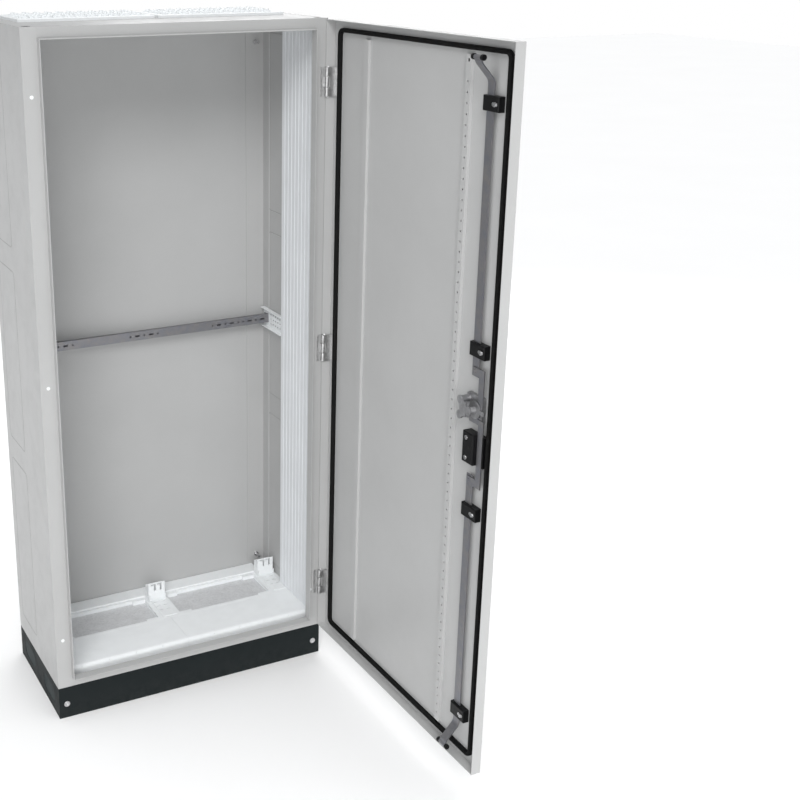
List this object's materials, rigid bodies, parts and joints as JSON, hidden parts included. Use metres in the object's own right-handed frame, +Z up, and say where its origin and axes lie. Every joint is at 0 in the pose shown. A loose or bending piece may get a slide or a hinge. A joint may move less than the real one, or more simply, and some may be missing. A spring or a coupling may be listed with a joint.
{
  "type": "industrial switchboard cabinet",
  "caption": "Floor-standing switchboard cabinet with a black plinth, hinged sheet-steel door, two-point rod lock with outside lever, gland plates and rear cross rail.",
  "frame": {"origin": "centre of the rectangle of four floor-bolt holes, on the floor under the plinth", "axes": "+X to the right seen from the front, +Y from the front to the rear, +Z up; the door at rest stands open at a right angle to the front"},
  "size_m": [0.8923, 1.251, 1.965],
  "materials": {
    "plinth_paint": "matt textured powder coat",
    "body_paint": "satin powder coat",
    "door_paint": "satin powder coat",
    "white_plastic": "moulded, satin",
    "liner_plastic": "extruded, satin",
    "zinc_plated": "zinc plated",
    "gland_sheet": "galvanised, mottled",
    "bright_steel": "plated",
    "dark_steel": "blackened",
    "hinge_zinc": "cast zinc",
    "lock_zinc": "cast zinc, bright",
    "black_plastic": "moulded, satin",
    "gasket_foam": "foamed skin"
  },
  "bodies": {
    "cabinet": {"cable_combs": "white_plastic", "cross_rail": "zinc_plated", "floor_frame_left": "white_plastic", "floor_frame_right": "white_plastic", "floor_panel": "body_paint", "frame_hole_plugs": "white_plastic", "front_cover_left": "white_plastic", "front_cover_right": "white_plastic", "front_header": "body_paint", "front_sill": "body_paint", "front_stile_left": "body_paint", "front_stile_right": "body_paint", "gland_plate_left": "gland_sheet", "gland_plate_right": "gland_sheet", "hinge_frame_leaves": "hinge_zinc", "hinge_pins": "bright_steel", "lifting_inserts": "dark_steel", "plinth_bolts": "bright_steel", "plinth_corner_posts": "plinth_paint", "plinth_front_panel": "plinth_paint", "plinth_rear_panel": "plinth_paint", "plinth_screws": "bright_steel", "plinth_side_panels": "plinth_paint", "rail_brackets": "white_plastic", "rail_cleats": "zinc_plated", "rear_beam": "white_plastic", "rear_panel": "body_paint", "rear_posts": "body_paint", "rear_studs": "bright_steel", "roof_entry_left": "white_plastic", "roof_entry_right": "white_plastic", "roof_panel": "body_paint", "side_liners": "liner_plastic", "side_panel_left": "body_paint", "side_panel_right": "body_paint", "slotted_strips": "white_plastic"},
    "door": {"door_panel": "door_paint", "door_gasket": "gasket_foam", "door_stiffener": "door_paint", "door_perforated_rail": "door_paint", "hinge_door_leaves": "hinge_zinc", "rod_guides": "black_plastic", "door_screws": "bright_steel", "bar_block": "black_plastic", "lock_case": "lock_zinc", "handle_base": "black_plastic"},
    "handle": {"handle_hub": "lock_zinc", "lock_cam": "lock_zinc", "lever_pin": "bright_steel"},
    "lever": {"handle_lever": "black_plastic"},
    "key_barrel": {"key_barrel": "bright_steel"},
    "upper_rod": {"upper_rod": "zinc_plated", "upper_drive_bar": "zinc_plated", "upper_roller_pin": "dark_steel"},
    "lower_rod": {"lower_rod": "zinc_plated", "lower_drive_bar": "zinc_plated", "lower_roller_pin": "dark_steel"},
    "upper_rollers": {"upper_rollers": "black_plastic"},
    "lower_rollers": {"lower_rollers": "black_plastic"}
  },
  "joints": [
    {"name": "door_hinge", "type": "hinge", "parent": "cabinet", "child": "door", "pos_m": [0.419, -0.208, 1.025], "axis": [0, 0, 1], "range_deg": [-90, 30]},
    {"name": "handle_turn", "type": "hinge", "parent": "door", "child": "handle", "pos_m": [0.445, -0.96, 1.08], "axis": [-1, 0, 0], "range_deg": [0, 90]},
    {"name": "lever_fold", "type": "hinge", "parent": "handle", "child": "lever", "pos_m": [0.4623, -0.96, 1.08], "axis": [0, 0, -1], "range_deg": [0, 35]},
    {"name": "key_turn", "type": "hinge", "parent": "door", "child": "key_barrel", "pos_m": [0.453, -0.96, 0.965], "axis": [-1, 0, 0], "range_deg": [0, 90]},
    {"name": "upper_rod_slide", "type": "slide", "parent": "door", "child": "upper_rod", "axis": [0, 0, 1], "range_m": [0, 0.024]},
    {"name": "lower_rod_slide", "type": "slide", "parent": "door", "child": "lower_rod", "axis": [0, 0, -1], "range_m": [0, 0.024]},
    {"name": "upper_roller_spin", "type": "hinge", "parent": "upper_rod", "child": "upper_rollers", "pos_m": [0.3955, -0.946, 1.908], "axis": [0, 1, 0], "continuous": true},
    {"name": "lower_roller_spin", "type": "hinge", "parent": "lower_rod", "child": "lower_rollers", "pos_m": [0.3955, -0.946, 0.142], "axis": [0, 1, 0], "continuous": true}
  ],
  "couplings": [
    {"joint": "upper_rod_slide", "follows": "handle_turn", "m_per_rad": 0.015278},
    {"joint": "lower_rod_slide", "follows": "handle_turn", "m_per_rad": 0.015278}
  ]
}
